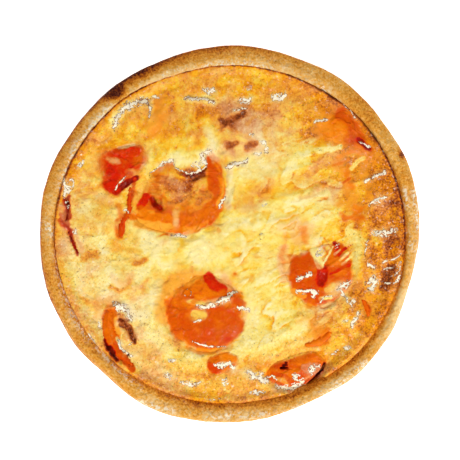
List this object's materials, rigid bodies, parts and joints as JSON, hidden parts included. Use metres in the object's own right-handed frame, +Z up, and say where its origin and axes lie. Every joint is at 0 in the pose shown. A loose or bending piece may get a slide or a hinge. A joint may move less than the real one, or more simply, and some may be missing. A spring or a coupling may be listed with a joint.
{
  "type": "quiche",
  "caption": "Round individual baked quiche in a plain shortcrust pastry case, with egg and melted cheese filling and cherry tomato pieces sunk into its top.",
  "frame": {"origin": "centre of the flat underside, on the surface that the quiche stands on", "axes": "+Z up; seen from above, +X to the right and +Y towards the far edge, where the large tomato half is far left"},
  "size_m": [0.1205, 0.1195, 0.0257],
  "materials": {
    "shortcrust": "matt baked pastry, sandy crumb",
    "custard": "soft gloss of set egg and melted cheese",
    "tomato": "wet gloss of roasted tomato"
  },
  "bodies": {
    "root": {"pastry_case": "shortcrust", "custard_filling": "custard", "tomato_half_far_left": "tomato", "tomato_half_near_middle": "tomato", "tomato_half_right": "tomato", "tomato_wedge_far_left": "tomato", "tomato_piece_near": "tomato", "tomato_wedge_near_right": "tomato", "tomato_piece_far_right": "tomato", "tomato_wedge_near_left": "tomato", "tomato_strip_far_left": "tomato", "tomato_skin_left_edge": "tomato", "tomato_strip_near_right": "tomato", "tomato_scrap_right": "tomato"}
  },
  "joints": []
}
